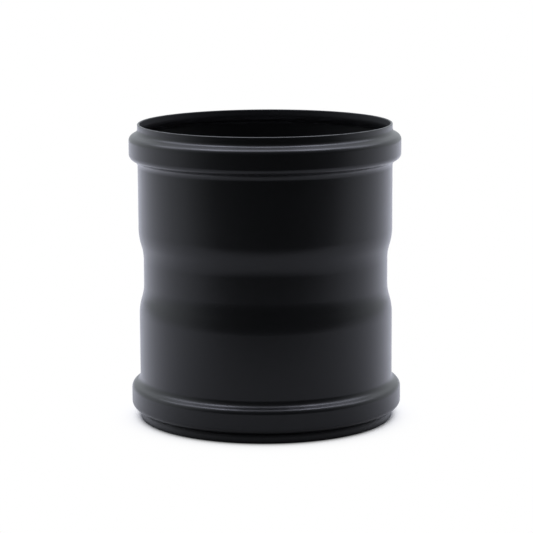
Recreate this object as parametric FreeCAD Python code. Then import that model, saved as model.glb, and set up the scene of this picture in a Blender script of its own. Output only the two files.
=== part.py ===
import FreeCAD, Part
import math
import os

# Connector for two plain pipe ends, pressed from one length of thin steel tube.
# Each end is a socket with a short collar at its mouth and a bead that holds a seal groove inside.
# The waist between the sockets is the stop that both pipes meet.
# Sizes are in millimetres. The tube's axis is Z, and the lower mouth stands on z = 0.

# The pipe and the sheet
PIPE_DIAMETER = 80.0       # outside of the pipe end that each socket takes
SOCKET_CLEARANCE = 0.4     # radial room between that pipe and the socket's wall
STOP_LEDGE = 1.15          # how far the waist's bore stands in from the pipe's outside
WALL = 0.8                 # thickness of the sheet

# Lengths along the axis
SOCKET_DEPTH = 36.4        # from a mouth to the start of the slope into the waist
WAIST_SLOPE = 5.4          # run of the slope from the socket down to the waist
WAIST_LENGTH = 12.4        # straight waist between the two slopes
COLLAR_HEIGHT = 2.6        # straight lip between a mouth and its bead

# The bead
GROOVE_DEPTH = 2.8         # how far the bead stands out, which is the depth of the groove behind it
BEAD_FACE = 6.5            # straight face of the bead between its two shoulders
BEAD_SHOULDER = 1.6        # axial run of each shoulder

# Radii on the hollow side of each bend, and the softened edges of the mouths
BEAD_BEND = 1.1
WAIST_BEND = 16.0
RIM_ROUNDING = 0.25

# Sizes that follow from those above
SOCKET_BORE = PIPE_DIAMETER / 2 + SOCKET_CLEARANCE
SOCKET_RADIUS = SOCKET_BORE + WALL
BEAD_RADIUS = SOCKET_RADIUS + GROOVE_DEPTH
WAIST_RADIUS = PIPE_DIAMETER / 2 - STOP_LEDGE + WALL
LENGTH = 2 * (SOCKET_DEPTH + WAIST_SLOPE) + WAIST_LENGTH

AXIS_POINT = FreeCAD.Vector(0, 0, 0)
AXIS = FreeCAD.Vector(0, 0, 1)


def socket_corners():
    """Corners of one end's outer skin, from the mouth to the waist, as depth, radius and bend radius."""
    face_start = COLLAR_HEIGHT + BEAD_SHOULDER
    face_end = face_start + BEAD_FACE
    return [
        (0, SOCKET_RADIUS, 0),
        (COLLAR_HEIGHT, SOCKET_RADIUS, BEAD_BEND),
        (face_start, BEAD_RADIUS, BEAD_BEND + WALL),
        (face_end, BEAD_RADIUS, BEAD_BEND + WALL),
        (face_end + BEAD_SHOULDER, SOCKET_RADIUS, BEAD_BEND),
        (SOCKET_DEPTH, SOCKET_RADIUS, WAIST_BEND + WALL),
        (SOCKET_DEPTH + WAIST_SLOPE, WAIST_RADIUS, WAIST_BEND),
    ]


def skin_corners():
    """Corners of the whole outer skin, from the lower mouth to the upper one, in the XZ plane."""
    lower = [(FreeCAD.Vector(radius, 0, depth), bend) for depth, radius, bend in socket_corners()]
    upper = [(FreeCAD.Vector(radius, 0, LENGTH - depth), bend) for depth, radius, bend in socket_corners()]
    return lower + upper[::-1]


def bend_arc(before, corner, after, radius):
    """Arc that rounds one corner of the skin, tangent to the straight stretches on both sides."""
    back = (before - corner).normalize()
    ahead = (after - corner).normalize()
    half_angle = back.getAngle(ahead) / 2
    tangent_run = radius / math.tan(half_angle)
    middle_run = radius / math.sin(half_angle) - radius
    middle = corner + (back + ahead).normalize() * middle_run
    return Part.Arc(corner + back * tangent_run, middle, corner + ahead * tangent_run)


def outer_skin():
    """Outer skin of the sheet as one wire of straight stretches and bends."""
    corners = skin_corners()
    points = [point for point, bend in corners]
    edges = []
    reached = points[0]
    for index in range(1, len(corners) - 1):
        arc = bend_arc(points[index - 1], points[index], points[index + 1], corners[index][1])
        edges.append(Part.LineSegment(reached, arc.StartPoint).toShape())
        edges.append(arc.toShape())
        reached = arc.EndPoint
    edges.append(Part.LineSegment(reached, points[-1]).toShape())
    return Part.Wire(edges)


def mouth_edges(tube):
    """The inner and outer edge of both mouths."""
    mouths = [face for face in tube.Faces if isinstance(face.Surface, Part.Plane)]
    return [edge for face in mouths for edge in face.Edges]


def connector_body():
    """The sheet's section turned about the axis, with its cut edges softened."""
    section = outer_skin().makeOffset2D(WALL, fill=True, openResult=True)
    tube = section.revolve(AXIS_POINT, AXIS, 360)
    rounding = min(RIM_ROUNDING, WALL / 3)
    return tube.makeFillet(rounding, mouth_edges(tube))


os.makedirs("parts", exist_ok=True)
connector_body().exportStep("parts/connector_body.step")
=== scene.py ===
"""Looks of a black socket-to-socket connector for round flue pipe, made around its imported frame."""

import logging
import math
from dataclasses import dataclass
from enum import Enum, IntEnum
from typing import NamedTuple

import bpy
from mathutils import Matrix, Vector


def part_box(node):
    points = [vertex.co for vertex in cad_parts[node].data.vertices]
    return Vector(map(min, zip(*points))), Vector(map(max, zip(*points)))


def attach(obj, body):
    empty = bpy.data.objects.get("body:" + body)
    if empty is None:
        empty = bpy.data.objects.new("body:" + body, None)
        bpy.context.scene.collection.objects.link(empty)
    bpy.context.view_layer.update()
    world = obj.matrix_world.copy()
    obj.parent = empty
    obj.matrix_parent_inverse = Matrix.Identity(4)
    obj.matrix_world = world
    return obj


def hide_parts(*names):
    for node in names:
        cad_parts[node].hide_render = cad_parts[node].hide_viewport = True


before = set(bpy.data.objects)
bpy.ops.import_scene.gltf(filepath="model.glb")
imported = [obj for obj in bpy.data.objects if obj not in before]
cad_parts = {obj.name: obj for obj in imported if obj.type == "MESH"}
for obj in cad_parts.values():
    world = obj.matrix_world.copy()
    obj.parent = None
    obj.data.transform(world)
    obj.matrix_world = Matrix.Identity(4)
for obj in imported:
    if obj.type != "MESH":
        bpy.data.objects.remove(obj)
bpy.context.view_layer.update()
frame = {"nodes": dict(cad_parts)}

MM: float = 0.001
RIGHT_ANGLE_DEG: float = 90.0

Place = tuple[float, float, float]
Rgba = tuple[float, float, float, float]
Settings = dict[str | int, object]
Links = dict[str | int, bpy.types.NodeSocket]

BLACK: Rgba = (0.0, 0.0, 0.0, 1.0)
WHITE: Rgba = (1.0, 1.0, 1.0, 1.0)
ACROSS_AXIS: Place = (1.0, 1.0, 0.0)

log = logging.getLogger("connector")


class SeenBy(Enum):
    """Kinds of ray that see the studio in their own way, named as on Blender's Light Path node."""

    CAMERA = "Is Camera Ray"
    GLOSSY = "Is Glossy Ray"
    TRANSMISSION = "Is Transmission Ray"


class MixInput(IntEnum):
    """Places of the Mix node's inputs, whose names repeat for each type of data."""

    SHARE = 0
    NUMBER_A = 2
    NUMBER_B = 3
    COLOUR_A = 6
    COLOUR_B = 7


class MixOutput(IntEnum):
    """Places of the Mix node's outputs, one for each type of data."""

    NUMBER = 0
    COLOUR = 2


class Mouth(Enum):
    """The two ends of the tube, each with the way along the axis that it faces."""

    LOWER = -1.0
    UPPER = 1.0


class Corner(NamedTuple):
    """A corner of the outer skin before it is bent, in millimetres, with its depth from the mouth."""

    depth: float
    radius: float
    bend: float


class SkinPoint(NamedTuple):
    """A point of the sheet's section as radius and height in millimetres, with its outward normal."""

    place: Vector
    normal: Vector


def linear(hex_colour: str) -> Rgba:
    """Turn an sRGB hex colour into the linear colour that shaders take.

    Args:
        hex_colour: six hex digits with a leading hash sign.

    Returns:
        Linear red, green, blue and an alpha of one.
    """
    channels = [int(hex_colour[start:start + 2], 16) / 255 for start in (1, 3, 5)]
    # The sRGB curve is a straight foot, and a power above it.
    red, green, blue = [c / 12.92 if c <= 0.04045 else ((c + 0.055) / 1.055) ** 2.4 for c in channels]
    return red, green, blue, 1.0


def add_node(tree: bpy.types.NodeTree, kind: str, settings: Settings, links: Links) -> bpy.types.Node:
    """Add one shader node with its settings and links.

    Args:
        tree: node tree that takes the node.
        kind: Blender's name for the type of node.
        settings: values by the name of a node property, or by the name or place of an input.
        links: source sockets by the name or place of an input.

    Returns:
        The new node.
    """
    node = tree.nodes.new(kind)
    for key, value in settings.items():
        if isinstance(key, str) and hasattr(node, key):
            setattr(node, key, value)
        else:
            node.inputs[key].default_value = value
    for key, source in links.items():
        tree.links.new(source, node.inputs[key])
    return node


def empty_material(name: str) -> bpy.types.Material:
    """Make a material whose node tree is bare.

    Args:
        name: the material's name.

    Returns:
        The material, with nodes on and none in its tree.
    """
    material = bpy.data.materials.new(name)
    material.use_nodes = True
    material.node_tree.nodes.clear()
    return material


def pattern_scale(feature_mm: float) -> float:
    """Scale of a texture in object space whose features are that many millimetres across."""
    return 1.0 / (feature_mm * MM)


@dataclass(frozen=True)
class SprayBumps:
    """One layer of the relief that a spray gun leaves.

    Attributes:
        width_mm: size of a bump.
        depth_mm: height of a bump.
        detail: how many finer octaves the layer has.
    """

    width_mm: float
    depth_mm: float
    detail: float


@dataclass(frozen=True)
class SatinBlackPaint:
    """Heat-proof black paint, sprayed on sheet steel and baked.

    The binder's thin skin gives a soft sheen that grows bright where the eye grazes the wall. The spray
    leaves a shallow orange peel and a fine grain that break the sheen up a little, and the pigment takes in
    nearly all else.

    Attributes:
        colour: full coat.
        colour_thin: coat where it is a little thinner.
        ior: index of refraction of the binder.
        roughness: middle of the sheen's roughness.
        roughness_spread: how far the roughness wanders to either side.
        cloud_mm: size of the faint clouds in colour and sheen.
        cloud_detail: finer octaves of the clouds.
        peel: orange peel.
        grain: finer grain on top of it.
        inside_painted_light_colour: coat inside the tube, lighter than outside as painted light for the
            glow seen down the tube.
        inside_roughness: roughness of that coat.
    """

    colour: str = "#121213"
    colour_thin: str = "#161618"
    ior: float = 1.5
    roughness: float = 0.30
    roughness_spread: float = 0.03
    cloud_mm: float = 18.0
    cloud_detail: float = 2.0
    # Real peel and grain are finer. They are drawn as coarse as they need to show at this distance.
    peel: SprayBumps = SprayBumps(width_mm=1.6, depth_mm=0.0015, detail=1.0)
    grain: SprayBumps = SprayBumps(width_mm=0.35, depth_mm=0.0006, detail=2.0)
    inside_painted_light_colour: str = "#222224"
    inside_roughness: float = 0.55

    def material(self) -> bpy.types.Material:
        """Build the paint's nodes.

        Returns:
            The finished material.
        """
        material = empty_material("baked_satin_black_paint")
        tree = material.node_tree
        coordinates = add_node(tree, "ShaderNodeTexCoord", {}, {})
        place = coordinates.outputs["Object"]
        clouds = add_node(
            tree, "ShaderNodeTexNoise",
            {"Scale": pattern_scale(self.cloud_mm), "Detail": self.cloud_detail}, {"Vector": place},
        ).outputs["Fac"]
        tint = add_node(
            tree, "ShaderNodeMix",
            {
                "data_type": "RGBA",
                MixInput.COLOUR_A: linear(self.colour),
                MixInput.COLOUR_B: linear(self.colour_thin),
            },
            {MixInput.SHARE: clouds},
        ).outputs[MixOutput.COLOUR]
        sheen = add_node(
            tree, "ShaderNodeMapRange",
            {
                "To Min": self.roughness - self.roughness_spread,
                "To Max": self.roughness + self.roughness_spread,
            },
            {"Value": clouds},
        ).outputs["Result"]
        # Inside the tube the coat is duller, and its lighter colour there is painted light for the glow
        # seen down the tube.
        inside = self.inside(tree, place, coordinates.outputs["Normal"])
        colour = add_node(
            tree, "ShaderNodeMix",
            {"data_type": "RGBA", MixInput.COLOUR_B: linear(self.inside_painted_light_colour)},
            {MixInput.SHARE: inside, MixInput.COLOUR_A: tint},
        ).outputs[MixOutput.COLOUR]
        roughness = add_node(
            tree, "ShaderNodeMix", {MixInput.NUMBER_B: self.inside_roughness},
            {MixInput.SHARE: inside, MixInput.NUMBER_A: sheen},
        ).outputs[MixOutput.NUMBER]
        skin = add_node(
            tree, "ShaderNodeBsdfPrincipled", {"IOR": self.ior},
            {"Base Color": colour, "Roughness": roughness, "Normal": self.relief(tree, place)},
        ).outputs["BSDF"]
        add_node(tree, "ShaderNodeOutputMaterial", {}, {"Surface": skin})
        return material

    def relief(self, tree: bpy.types.NodeTree, place: bpy.types.NodeSocket) -> bpy.types.NodeSocket:
        """Lay the grain over the orange peel.

        Args:
            tree: the paint's node tree.
            place: place on the part, in metres.

        Returns:
            The normal of the sprayed surface.
        """
        below: Links = {}
        for bumps in (self.peel, self.grain):
            height = add_node(
                tree, "ShaderNodeTexNoise",
                {"Scale": pattern_scale(bumps.width_mm), "Detail": bumps.detail}, {"Vector": place},
            ).outputs["Fac"]
            normal = add_node(
                tree, "ShaderNodeBump", {"Distance": bumps.depth_mm * MM}, {"Height": height} | below,
            ).outputs["Normal"]
            below = {"Normal": normal}
        return normal

    def inside(
        self, tree: bpy.types.NodeTree, place: bpy.types.NodeSocket, normal: bpy.types.NodeSocket
    ) -> bpy.types.NodeSocket:
        """Tell the inside of the tube from its outside.

        Args:
            tree: the paint's node tree.
            place: place on the part, whose axis is the frame's Z axis.
            normal: surface normal in the same frame.

        Returns:
            One where the surface faces the axis, and nought elsewhere.
        """
        spoke = add_node(
            tree, "ShaderNodeVectorMath", {"operation": "MULTIPLY", 1: ACROSS_AXIS}, {0: place},
        ).outputs["Vector"]
        outward = add_node(
            tree, "ShaderNodeVectorMath", {"operation": "DOT_PRODUCT"}, {0: spoke, 1: normal},
        ).outputs["Value"]
        return add_node(
            tree, "ShaderNodeMath", {"operation": "LESS_THAN", 1: 0.0}, {0: outward},
        ).outputs["Value"]


@dataclass(frozen=True)
class WhitePaper:
    """Matt white background paper, calendered, under a light that falls off towards the camera.

    That fall-off is painted into the paper's tone. It scatters light evenly, so it shows only the soft
    shade around the part. The camera sees it at the white end of the picture. The part's walls mirror it
    dark in
    front, and white at the sides and behind: painted shade, with a painted shadow of the part in front of
    its wall and painted light beside it.

    Attributes:
        wall_radius: radius of the wall that stands on the paper, in metres.
        colour: the paper itself.
        mirrored_colour: glow of the paper in what the part mirrors.
        mirror_lift: share of that glow.
        painted_front_tone: how light the painted fall-off leaves the paper straight in front of the part.
        white_bearing: where it is white, as the cosine of the angle from straight behind the part.
        fall_turn_deg: turn of the fall-off about the part's axis.
        contact_power: how closely the contact shade keeps to the wall.
        painted_shadow_power: how closely the painted shadow in front of the part keeps to the wall.
        painted_shadow_share: how much of the front tone the painted shadow takes.
        painted_light_beside_wall: how much further forward the paper is painted white beside the wall.
    """

    wall_radius: float
    colour: str = "#ebebec"
    mirrored_colour: str = "#f2f5fe"
    mirror_lift: float = 0.4
    painted_front_tone: float = 0.45
    white_bearing: float = 0.86
    fall_turn_deg: float = 7.0
    contact_power: float = 18.0
    painted_shadow_power: float = 2.0
    painted_shadow_share: float = 0.2
    painted_light_beside_wall: float = 1.2

    def material(self) -> bpy.types.Material:
        """Build the paper's nodes.

        Returns:
            The finished material.
        """
        material = empty_material("matt_white_paper")
        tree = material.node_tree
        place = add_node(tree, "ShaderNodeTexCoord", {}, {}).outputs["Object"]
        reach = add_node(tree, "ShaderNodeVectorMath", {"operation": "LENGTH"}, {0: place}).outputs["Value"]
        # One at the wall and inside the tube, and less the further away.
        nearness = add_node(
            tree, "ShaderNodeMath",
            {"operation": "DIVIDE", "use_clamp": True, 0: self.wall_radius}, {1: reach},
        ).outputs["Value"]
        sight = add_node(tree, "ShaderNodeLightPath", {}, {})
        by_camera = sight.outputs[SeenBy.CAMERA.value]
        # For the camera the paper is white; for other rays its colour and glow carry the painted fall-off
        # and painted shadow.
        tone = add_node(
            tree, "ShaderNodeMath", {"operation": "MAXIMUM"},
            {0: self.painted_fall_off(tree, place, reach, nearness), 1: by_camera},
        ).outputs["Value"]
        shade = add_node(
            tree, "ShaderNodeMix",
            {"data_type": "RGBA", MixInput.COLOUR_A: BLACK, MixInput.COLOUR_B: linear(self.colour)},
            {MixInput.SHARE: tone},
        ).outputs[MixOutput.COLOUR]
        glow = add_node(
            tree, "ShaderNodeMix",
            {
                "data_type": "RGBA",
                MixInput.COLOUR_A: linear(self.mirrored_colour),
                MixInput.COLOUR_B: WHITE,
            },
            {MixInput.SHARE: by_camera},
        ).outputs[MixOutput.COLOUR]
        matt = add_node(tree, "ShaderNodeBsdfDiffuse", {}, {"Color": shade}).outputs["BSDF"]
        white = add_node(
            tree, "ShaderNodeEmission", {}, {"Color": glow, "Strength": tone},
        ).outputs["Emission"]
        lift = self.glow_share(tree, nearness, sight)
        paper = add_node(tree, "ShaderNodeMixShader", {}, {0: lift, 1: matt, 2: white}).outputs["Shader"]
        # From below the paper is clear, so that the lower mouth can be looked at.
        clear = add_node(tree, "ShaderNodeBsdfTransparent", {}, {}).outputs["BSDF"]
        below = add_node(tree, "ShaderNodeNewGeometry", {}, {}).outputs["Backfacing"]
        one_sided = add_node(
            tree, "ShaderNodeMixShader", {}, {0: below, 1: paper, 2: clear},
        ).outputs["Shader"]
        add_node(tree, "ShaderNodeOutputMaterial", {}, {"Surface": one_sided})
        return material

    def painted_fall_off(
        self,
        tree: bpy.types.NodeTree,
        place: bpy.types.NodeSocket,
        reach: bpy.types.NodeSocket,
        nearness: bpy.types.NodeSocket,
    ) -> bpy.types.NodeSocket:
        """Paint the light's fall-off into the paper, from its tone in front of the part to white behind it.

        Args:
            tree: the paper's node tree.
            place: place on the paper.
            reach: distance from the part's axis.
            nearness: one at the wall, and less the further away.

        Returns:
            The paper's tone, with one as white.
        """
        turned = add_node(
            tree, "ShaderNodeVectorRotate",
            {"rotation_type": "Z_AXIS", "Angle": math.radians(-self.fall_turn_deg)}, {"Vector": place},
        ).outputs["Vector"]
        back = add_node(tree, "ShaderNodeSeparateXYZ", {}, {"Vector": turned}).outputs["Y"]
        bearing = add_node(
            tree, "ShaderNodeMath", {"operation": "DIVIDE"}, {0: back, 1: reach},
        ).outputs["Value"]
        # Painted shadow of the part on the paper in front of it, strongest at the wall; it takes a share of
        # the front tone.
        shadow = add_node(
            tree, "ShaderNodeMath", {"operation": "POWER", 1: self.painted_shadow_power}, {0: nearness},
        ).outputs["Value"]
        front = add_node(
            tree, "ShaderNodeMath",
            {"operation": "MULTIPLY_ADD", 1: -self.painted_front_tone * self.painted_shadow_share, 2: self.painted_front_tone},
            {0: shadow},
        ).outputs["Value"]
        # Painted light: beside the wall the paper is white further forward.
        white_from = add_node(
            tree, "ShaderNodeMath",
            {"operation": "MULTIPLY_ADD", 1: -self.painted_light_beside_wall, 2: self.white_bearing},
            {0: shadow},
        ).outputs["Value"]
        return add_node(
            tree, "ShaderNodeMapRange",
            {"interpolation_type": "SMOOTHSTEP", "From Min": -1.0},
            {"Value": bearing, "From Max": white_from, "To Min": front},
        ).outputs["Result"]

    def glow_share(
        self, tree: bpy.types.NodeTree, nearness: bpy.types.NodeSocket, sight: bpy.types.Node
    ) -> bpy.types.NodeSocket:
        """Work out how much of the paper glows of itself, which leaves the contact shade at the wall.

        Args:
            tree: the paper's node tree.
            nearness: one at the wall, and less the further away.
            sight: node that tells the kinds of ray apart.

        Returns:
            The share of glow in what a ray sees: all for the camera, some for a mirror, none for the rest.
        """
        by_mirror = add_node(
            tree, "ShaderNodeMath", {"operation": "MAXIMUM"},
            {0: sight.outputs[SeenBy.GLOSSY.value], 1: sight.outputs[SeenBy.TRANSMISSION.value]},
        ).outputs["Value"]
        contact = add_node(
            tree, "ShaderNodeMath", {"operation": "POWER", 1: self.contact_power}, {0: nearness},
        ).outputs["Value"]
        away = add_node(
            tree, "ShaderNodeMath", {"operation": "MULTIPLY_ADD", 1: -1.0, 2: 1.0}, {0: contact},
        ).outputs["Value"]
        share = add_node(
            tree, "ShaderNodeMath", {"operation": "MULTIPLY_ADD", 1: self.mirror_lift},
            {0: by_mirror, 2: sight.outputs[SeenBy.CAMERA.value]},
        ).outputs["Value"]
        return add_node(
            tree, "ShaderNodeMath", {"operation": "MULTIPLY"}, {0: share, 1: away},
        ).outputs["Value"]


@dataclass
class ConnectorShell:
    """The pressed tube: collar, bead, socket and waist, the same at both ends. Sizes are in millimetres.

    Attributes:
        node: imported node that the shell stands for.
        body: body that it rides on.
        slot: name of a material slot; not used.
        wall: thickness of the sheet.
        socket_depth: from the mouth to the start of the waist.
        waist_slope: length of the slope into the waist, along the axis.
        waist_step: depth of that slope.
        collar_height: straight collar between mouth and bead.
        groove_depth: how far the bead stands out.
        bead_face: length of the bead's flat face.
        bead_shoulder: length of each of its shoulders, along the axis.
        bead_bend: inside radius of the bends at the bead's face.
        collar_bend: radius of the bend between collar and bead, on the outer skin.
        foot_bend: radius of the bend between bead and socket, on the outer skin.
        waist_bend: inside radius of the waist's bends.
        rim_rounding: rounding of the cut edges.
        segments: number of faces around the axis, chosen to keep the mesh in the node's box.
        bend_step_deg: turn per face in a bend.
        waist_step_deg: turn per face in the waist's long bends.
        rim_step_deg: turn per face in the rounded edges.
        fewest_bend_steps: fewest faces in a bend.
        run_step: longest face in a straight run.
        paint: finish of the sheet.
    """

    node: str = "connector_body"
    body: str = "root"
    slot: str = "black_paint"
    wall: float = 0.8
    socket_depth: float = 36.4
    waist_slope: float = 5.4
    waist_step: float = 1.55
    collar_height: float = 2.6
    groove_depth: float = 2.8
    bead_face: float = 6.5
    bead_shoulder: float = 1.6
    bead_bend: float = 1.1
    collar_bend: float = 1.7
    foot_bend: float = 2.4
    waist_bend: float = 16.0
    rim_rounding: float = 0.25
    segments: int = 118
    bend_step_deg: float = 6.0
    waist_step_deg: float = 2.0
    rim_step_deg: float = 12.0
    fewest_bend_steps: int = 2
    run_step: float = 3.0
    paint: SatinBlackPaint = SatinBlackPaint()

    @property
    def length(self) -> float:
        """Height of the part from mouth to mouth, as the frame gives it."""
        low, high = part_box(self.node)
        return (high.z - low.z) / MM

    @property
    def socket_radius(self) -> float:
        """Outside of the sockets, which lies one groove inside the frame's widest point."""
        low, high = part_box(self.node)
        return (high.x - low.x) / 2 / MM - self.groove_depth

    @property
    def bore(self) -> float:
        """Inside of the sockets."""
        return self.socket_radius - self.wall

    def end_corners(self) -> list[Corner]:
        """Corners of one end's outer skin.

        Returns:
            The corners from mouth to waist.
        """
        socket = self.socket_radius
        bead = socket + self.groove_depth
        face_start = self.collar_height + self.bead_shoulder
        face_end = face_start + self.bead_face
        return [
            Corner(self.rim_rounding, socket, 0.0),
            Corner(self.collar_height, socket, self.collar_bend),
            Corner(face_start, bead, self.bead_bend + self.wall),
            Corner(face_end, bead, self.bead_bend + self.wall),
            Corner(face_end + self.bead_shoulder, socket, self.foot_bend),
            Corner(self.socket_depth, socket, self.waist_bend + self.wall),
            Corner(self.socket_depth + self.waist_slope, socket - self.waist_step, self.waist_bend),
        ]

    def skin(self) -> list[SkinPoint]:
        """Outer skin, with its corners bent.

        Returns:
            Points from the lower mouth to the upper one.
        """
        end = self.end_corners()
        corners = [(Vector((radius, depth)), bend) for depth, radius, bend in end]
        corners += [(Vector((radius, self.length - depth)), bend) for depth, radius, bend in reversed(end)]
        line: list[SkinPoint] = []
        reached = corners[0][0]
        for (before, _), (corner, bend), (after, _) in zip(corners, corners[1:], corners[2:]):
            arc = self.bend_points(before, corner, after, bend)
            line += self.run_points(reached, arc[0].place)
            line += arc[:-1]
            reached = arc[-1].place
        last_corner = corners[-1][0]
        line += self.run_points(reached, last_corner)
        return line + [SkinPoint(last_corner, line[-1].normal)]

    def run_points(self, start: Vector, end: Vector) -> list[SkinPoint]:
        """Points along a straight run of the skin.

        Args:
            start: radius and height where the run starts.
            end: radius and height where it ends.

        Returns:
            Points of the run, its end left out.
        """
        run = end - start
        count = max(1, math.ceil(run.length / self.run_step))
        normal = Vector((run.y, -run.x)).normalized()
        return [SkinPoint(start + run * (step / count), normal) for step in range(count)]

    def bend_points(self, before: Vector, corner: Vector, after: Vector, radius: float) -> list[SkinPoint]:
        """Points along the arc that rounds one corner of the skin.

        Args:
            before: corner before this one.
            corner: corner that is rounded.
            after: corner after it.
            radius: radius of the bend on the outer skin.

        Returns:
            Points of the arc, both ends included.
        """
        back = (before - corner).normalized()
        ahead = (after - corner).normalized()
        half_angle = back.angle(ahead) / 2
        start = corner + back * (radius / math.tan(half_angle))
        centre = corner + (back + ahead).normalized() * (radius / math.sin(half_angle))
        turn = math.pi - 2 * half_angle
        step_deg = self.waist_step_deg if radius >= self.waist_bend else self.bend_step_deg
        count = max(self.fewest_bend_steps, math.ceil(math.degrees(turn) / step_deg))
        spoke = start - centre
        # A bend that bulges outwards turns one way, and one that hollows the skin turns the other way.
        sign = 1.0 if centre.x < corner.x else -1.0
        points = []
        for step in range(count + 1):
            turned = Matrix.Rotation(sign * turn * step / count, 2) @ spoke
            points.append(SkinPoint(centre + turned, turned.normalized() * sign))
        return points

    def rim(self, mouth: Mouth) -> list[SkinPoint]:
        """Rounded cut edge of one mouth, from the outer skin to the inner one.

        Args:
            mouth: end of the tube that the edge is at.

        Returns:
            Points of the edge, both ends left out.
        """
        height = self.length if mouth is Mouth.UPPER else 0.0
        level = height - mouth.value * self.rim_rounding
        outer = self.socket_radius - self.rim_rounding
        inner = self.bore + self.rim_rounding
        count = math.ceil(RIGHT_ANGLE_DEG / self.rim_step_deg)
        points = []
        for radius, first_deg in ((outer, 0.0), (inner, RIGHT_ANGLE_DEG)):
            for step in range(count + 1):
                angle = math.radians(first_deg + RIGHT_ANGLE_DEG * step / count)
                normal = Vector((math.cos(angle), mouth.value * math.sin(angle)))
                points.append(SkinPoint(Vector((radius, level)) + normal * self.rim_rounding, normal))
        return points[1:-1]

    def section(self) -> list[SkinPoint]:
        """Closed section of the sheet.

        Returns:
            Points up the outside, over the upper rim, down the inside and round the lower rim.
        """
        outside = self.skin()
        inside = [SkinPoint(place - normal * self.wall, -normal) for place, normal in reversed(outside)]
        lower_rim = list(reversed(self.rim(Mouth.LOWER)))
        return outside + self.rim(Mouth.UPPER) + inside + lower_rim

    def faces_around(self, count: int) -> list[tuple[int, int, int, int]]:
        """Faces that join the section's copies all round the axis.

        Args:
            count: number of points in the section.

        Returns:
            Four vertex numbers for each face.
        """
        faces = []
        for column in range(self.segments):
            here = column * count
            there = (column + 1) % self.segments * count
            for row in range(count):
                above = (row + 1) % count
                faces.append((here + row, there + row, there + above, here + above))
        return faces

    def build(self) -> bpy.types.Object:
        """Turn the section about the axis into one closed mesh, whose normals follow the true curve.

        Returns:
            The bare shell.
        """
        section = self.section()
        vertices: list[Place] = []
        normals: list[Place] = []
        for column in range(self.segments):
            angle = math.tau * column / self.segments
            cosine, sine = math.cos(angle), math.sin(angle)
            for place, normal in section:
                vertices.append((place.x * cosine * MM, place.x * sine * MM, place.y * MM))
                normals.append((normal.x * cosine, normal.x * sine, normal.y))
        mesh = bpy.data.meshes.new("connector_shell")
        mesh.from_pydata(vertices, [], self.faces_around(len(section)))
        mesh.shade_smooth()
        mesh.normals_split_custom_set_from_vertices(normals)
        shell = bpy.data.objects.new("connector_shell", mesh)
        bpy.context.scene.collection.objects.link(shell)
        return shell

    def dress(self, shell: bpy.types.Object) -> None:
        """Paint the shell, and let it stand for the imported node.

        Args:
            shell: the bare shell.
        """
        shell.data.materials.append(self.paint.material())
        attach(shell, self.body)
        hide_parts(self.node)


@dataclass(frozen=True)
class Softbox:
    """A rectangular lamp that faces a point, with places and sizes in metres.

    Attributes:
        name: the lamp's name.
        place: its middle.
        target: point that it faces.
        width: its size from side to side.
        depth: its size from front to back.
        radiance: brightness of its face, with one as white.
        colour: colour of its light.
        mirrored: whether the part's paint mirrors its face.
    """

    name: str
    place: Place
    target: Place
    width: float
    depth: float
    radiance: float
    colour: str = "#e9ebff"
    mirrored: bool = True

    def hang(self) -> bpy.types.Object:
        """Hang the lamp in the studio, out of the camera's sight.

        Returns:
            The lamp's object.
        """
        data = bpy.data.lights.new(self.name, "AREA")
        data.shape = "RECTANGLE"
        data.size = self.width
        data.size_y = self.depth
        data.energy = self.radiance * math.pi * self.width * self.depth
        data.color = linear(self.colour)[:3]
        lamp = bpy.data.objects.new(self.name, data)
        lamp.visible_camera = False
        lamp.visible_glossy = self.mirrored
        lamp.location = self.place
        lamp.rotation_euler = (Vector(self.target) - Vector(self.place)).to_track_quat("-Z", "Y").to_euler()
        bpy.context.scene.collection.objects.link(lamp)
        return lamp


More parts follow.
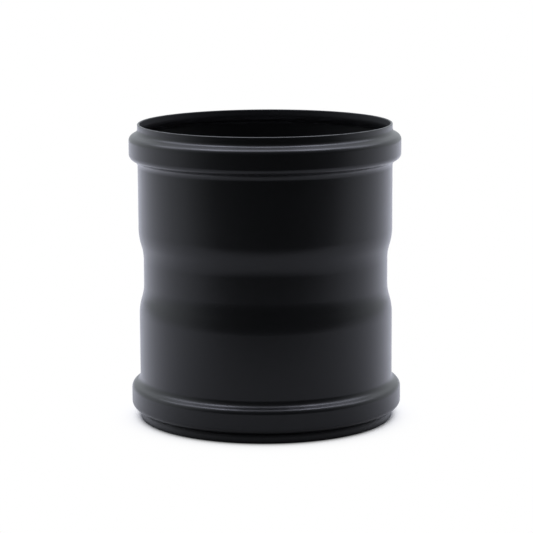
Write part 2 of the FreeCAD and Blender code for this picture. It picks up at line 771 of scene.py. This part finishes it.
@dataclass
class Studio:
    """White paper under the part, soft lamps above it, a white room behind and a dark one in front.

    Attributes:
        paper: the paper's finish.
        front_edge: from the part's axis to the paper's front edge, in metres.
        back_edge: from the axis to its back edge.
        half_width: from the axis to either side.
        room_colour: colour of the room's light.
        room_turn_deg: turn of the room about the part's axis.
        room: the room's brightness by the cosine of the angle from straight behind, front first.
        lamps: lamps to hang.
    """

    paper: WhitePaper
    front_edge: float = 0.175
    back_edge: float = 2.0
    half_width: float = 1.6
    room_colour: str = "#f1f7fd"
    room_turn_deg: float = 9.0
    room: tuple[tuple[float, float], ...] = (
        (-1.0, 0.05), (-0.6, 0.08), (-0.3, 0.26), (0.0, 0.6), (0.5, 0.95), (1.0, 1.0),
    )
    lamps: tuple[Softbox, ...] = (
        Softbox(
            "top_softbox", place=(0.0, -0.014, 0.52), target=(0.0, -0.014, 0.0),
            width=0.55, depth=0.17, radiance=3.9,
        ),
        Softbox(
            "left_softbox", place=(-0.27, 0.10, 0.475), target=(0.0, 0.0, 0.05),
            width=0.25, depth=0.36, radiance=2.0,
        ),
        Softbox(
            "right_softbox", place=(0.27, 0.10, 0.475), target=(0.0, 0.0, 0.05),
            width=0.25, depth=0.36, radiance=2.0,
        ),
        Softbox(
            "paper_lamp", place=(0.0, 0.60, 0.60), target=(0.0, 0.60, 0.0),
            width=1.2, depth=0.5, radiance=6.0, mirrored=False,
        ),
    )

    def build(self) -> None:
        """Lay the paper, light the room and hang the lamps."""
        sheet = self.lay_paper()
        log.info("%s is laid", sheet.name)
        world = self.light_room()
        log.info("%s is lit", world.name)
        for softbox in self.lamps:
            lamp = softbox.hang()
            log.info("%s hangs at %.2f m", lamp.name, lamp.location.z)

    def lay_paper(self) -> bpy.types.Object:
        """Lay the paper that the part stands on.

        Returns:
            The paper's object.
        """
        corners = [
            (-self.half_width, -self.front_edge, 0.0),
            (self.half_width, -self.front_edge, 0.0),
            (self.half_width, self.back_edge, 0.0),
            (-self.half_width, self.back_edge, 0.0),
        ]
        mesh = bpy.data.meshes.new("paper")
        mesh.from_pydata(corners, [], [(0, 1, 2, 3)])
        mesh.materials.append(self.paper.material())
        sheet = bpy.data.objects.new("paper", mesh)
        bpy.context.scene.collection.objects.link(sheet)
        return sheet

    def light_room(self) -> bpy.types.World:
        """Give the world the room's light, and white wherever the camera looks past the paper.

        Returns:
            The world.
        """
        world = bpy.data.worlds.new("room")
        world.use_nodes = True
        tree = world.node_tree
        tree.nodes.clear()
        towards = add_node(tree, "ShaderNodeTexCoord", {}, {}).outputs["Generated"]
        turned = add_node(
            tree, "ShaderNodeVectorRotate",
            {"rotation_type": "Z_AXIS", "Angle": math.radians(-self.room_turn_deg)}, {"Vector": towards},
        ).outputs["Vector"]
        backwards = add_node(tree, "ShaderNodeSeparateXYZ", {}, {"Vector": turned}).outputs["Y"]
        share = add_node(
            tree, "ShaderNodeMapRange", {"From Min": -1.0, "From Max": 1.0}, {"Value": backwards},
        ).outputs["Result"]
        ramp = add_node(tree, "ShaderNodeValToRGB", {}, {"Fac": share})
        self.set_room_stops(ramp.color_ramp)
        by_camera = add_node(tree, "ShaderNodeLightPath", {}, {}).outputs[SeenBy.CAMERA.value]
        colour = add_node(
            tree, "ShaderNodeMix", {"data_type": "RGBA", MixInput.COLOUR_B: WHITE},
            {MixInput.SHARE: by_camera, MixInput.COLOUR_A: ramp.outputs["Color"]},
        ).outputs[MixOutput.COLOUR]
        glow = add_node(
            tree, "ShaderNodeBackground", {"Strength": 1.0}, {"Color": colour},
        ).outputs["Background"]
        add_node(tree, "ShaderNodeOutputWorld", {}, {"Surface": glow})
        bpy.context.scene.world = world
        return world

    def set_room_stops(self, ramp: bpy.types.ColorRamp) -> None:
        """Set the room's brightness from front to back on a colour ramp.

        Args:
            ramp: new ramp, with Blender's own two stops.
        """
        ramp.interpolation = "EASE"
        # New stops start at the far end, so that all stay in order while they get their places.
        while len(ramp.elements) < len(self.room):
            ramp.elements.new(1.0)
        red, green, blue, alpha = linear(self.room_colour)
        for stop, (cosine, level) in zip(ramp.elements, self.room):
            stop.position = (cosine + 1) / 2
            stop.color = (level * red, level * green, level * blue, alpha)


@dataclass(frozen=True)
class PhotoCamera:
    """The photograph's camera, fitted to the part's outline, with lengths in millimetres.

    Attributes:
        aside: from the part's axis to the right.
        distance: from the axis to the front.
        height: above the paper.
        pitch_deg: how far it looks down.
        roll_deg: how far it leans to its side.
        focal_px: focal length in pixels of the photograph.
        image_px: width of the photograph in pixels.
        sensor: width of the sensor.
    """

    aside: float = 0.30
    distance: float = 717.7
    height: float = 175.5
    pitch_deg: float = 10.007
    roll_deg: float = -0.283
    focal_px: float = 2234.0
    image_px: float = 533.0
    sensor: float = 36.0

    def set_up(self) -> bpy.types.Object:
        """Make the camera and give it to the scene.

        Returns:
            The camera's object.
        """
        data = bpy.data.cameras.new("photo_camera")
        data.sensor_width = self.sensor
        data.lens = self.sensor * self.focal_px / self.image_px
        camera = bpy.data.objects.new("photo_camera", data)
        # An unturned camera looks straight down, and a right angle makes it level.
        tilt = Matrix.Rotation(math.radians(RIGHT_ANGLE_DEG - self.pitch_deg), 4, "X")
        roll = Matrix.Rotation(math.radians(self.roll_deg), 4, "Z")
        place = Matrix.Translation(Vector((self.aside, -self.distance, self.height)) * MM)
        camera.matrix_world = place @ tilt @ roll
        bpy.context.scene.collection.objects.link(camera)
        bpy.context.scene.camera = camera
        return camera


def main() -> None:
    """Build the part, its studio and its camera in order."""
    logging.basicConfig(level=logging.INFO, format="%(name)s: %(message)s")
    log.info("frame holds %s", ", ".join(frame["nodes"]))
    bpy.context.scene.view_settings.view_transform = "Standard"
    connector = ConnectorShell()
    shell = connector.build()
    connector.dress(shell)
    log.info("%s has %d faces and replaces %s", shell.name, len(shell.data.polygons), connector.node)
    Studio(WhitePaper(wall_radius=connector.socket_radius * MM)).build()
    camera = PhotoCamera().set_up()
    log.info("%s has a %.1f mm lens", camera.name, camera.data.lens)


if __name__ == "__main__":
    main()
